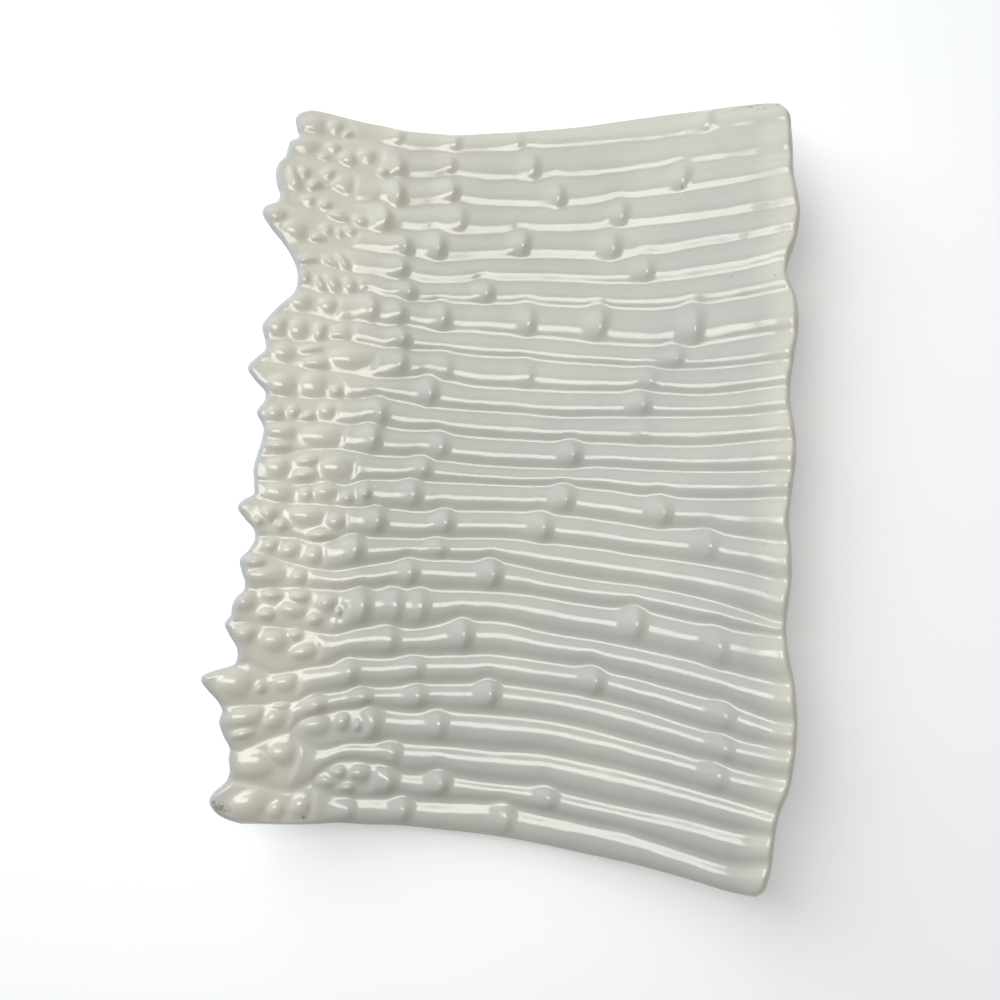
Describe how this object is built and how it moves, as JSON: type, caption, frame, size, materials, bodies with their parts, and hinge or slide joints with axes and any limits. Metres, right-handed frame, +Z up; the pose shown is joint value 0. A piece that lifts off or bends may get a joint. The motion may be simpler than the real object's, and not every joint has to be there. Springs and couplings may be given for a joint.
{
  "type": "asparagus plate",
  "caption": "Serving plate of ivory glazed earthenware, curved up at both ends like a shallow cradle, with asparagus spears lying side by side in relief.",
  "frame": {"origin": "middle of the plate's outline, at table height", "axes": "+X along the spears towards their cut ends, +Y across the spears, +Z up"},
  "size_m": [0.2358, 0.323, 0.0385],
  "materials": {
    "relief_glaze": "glossy ivory glaze, a little deeper in the valleys",
    "body_glaze": "glossy ivory glaze",
    "foot_clay": "bare fired clay, wiped clean of glaze"
  },
  "bodies": {
    "root": {"plate_body": "body_glaze", "foot_rail_tip_side": "foot_clay", "foot_rail_cut_side": "foot_clay", "spear_01": "relief_glaze", "spear_02": "relief_glaze", "spear_03": "relief_glaze", "spear_04": "relief_glaze", "spear_05": "relief_glaze", "spear_06": "relief_glaze", "spear_07": "relief_glaze", "spear_08": "relief_glaze", "spear_09": "relief_glaze", "spear_10": "relief_glaze", "spear_11": "relief_glaze", "spear_12": "relief_glaze", "spear_13": "relief_glaze", "spear_14": "relief_glaze", "spear_15": "relief_glaze", "spear_16": "relief_glaze", "spear_17": "relief_glaze", "spear_18": "relief_glaze", "spear_19": "relief_glaze", "spear_20": "relief_glaze", "spear_21": "relief_glaze", "spear_22": "relief_glaze", "spear_23": "relief_glaze", "spear_24": "relief_glaze", "spear_25": "relief_glaze", "spear_26": "relief_glaze"}
  },
  "joints": []
}
